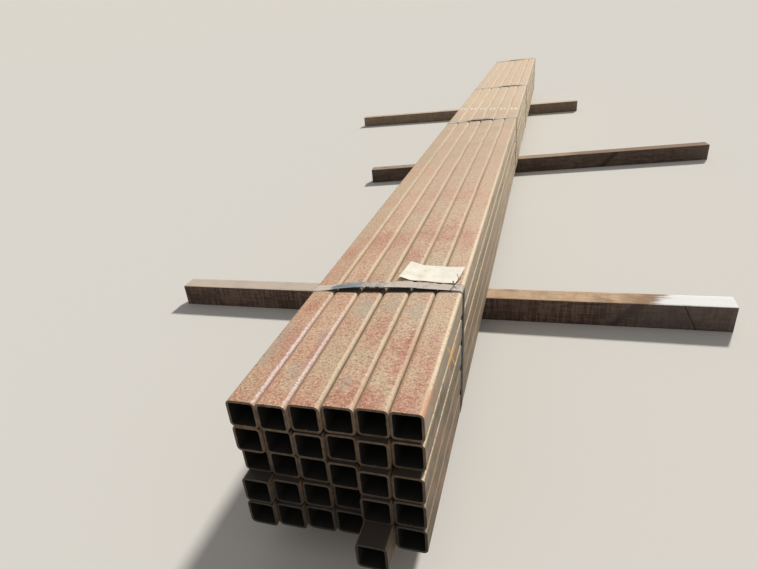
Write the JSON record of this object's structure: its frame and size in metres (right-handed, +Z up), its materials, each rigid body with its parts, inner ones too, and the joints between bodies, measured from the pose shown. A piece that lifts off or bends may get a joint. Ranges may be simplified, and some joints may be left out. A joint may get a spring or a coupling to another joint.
{
  "type": "bundle of square steel tubing",
  "caption": "Strapped bundle of square steel tubes with hollow, uneven sawn ends, crimped strap seals and a blank wired paper tag, lying on sawn timber bearers.",
  "frame": {"origin": "middle of the whole stack's outline at floor level, under the timbers", "axes": "+Z up, +Y along the tubes from the near ends to the far ends, +X to the right across the bundle"},
  "size_m": [3.241, 7.4246, 0.516],
  "materials": {
    "mill_scale_steel": "mill scale with light rust",
    "strapping_steel": "blued steel strapping",
    "seal_steel": "dull galvanised",
    "timber": "weathered rough sawn",
    "tag_paper": "matt",
    "tie_wire": "annealed wire"
  },
  "bodies": {
    "root": {"bearer_1": "timber", "bearer_2": "timber", "bearer_3": "timber", "paper_tag": "tag_paper", "seal_1": "seal_steel", "seal_2": "seal_steel", "seal_3": "seal_steel", "seal_4": "seal_steel", "strap_1": "strapping_steel", "strap_2": "strapping_steel", "strap_3": "strapping_steel", "strap_4": "strapping_steel", "tag_wire": "tie_wire", "tube_row_1": "mill_scale_steel", "tube_row_2": "mill_scale_steel", "tube_row_3": "mill_scale_steel", "tube_row_4": "mill_scale_steel", "tube_row_5": "mill_scale_steel"}
  },
  "joints": []
}
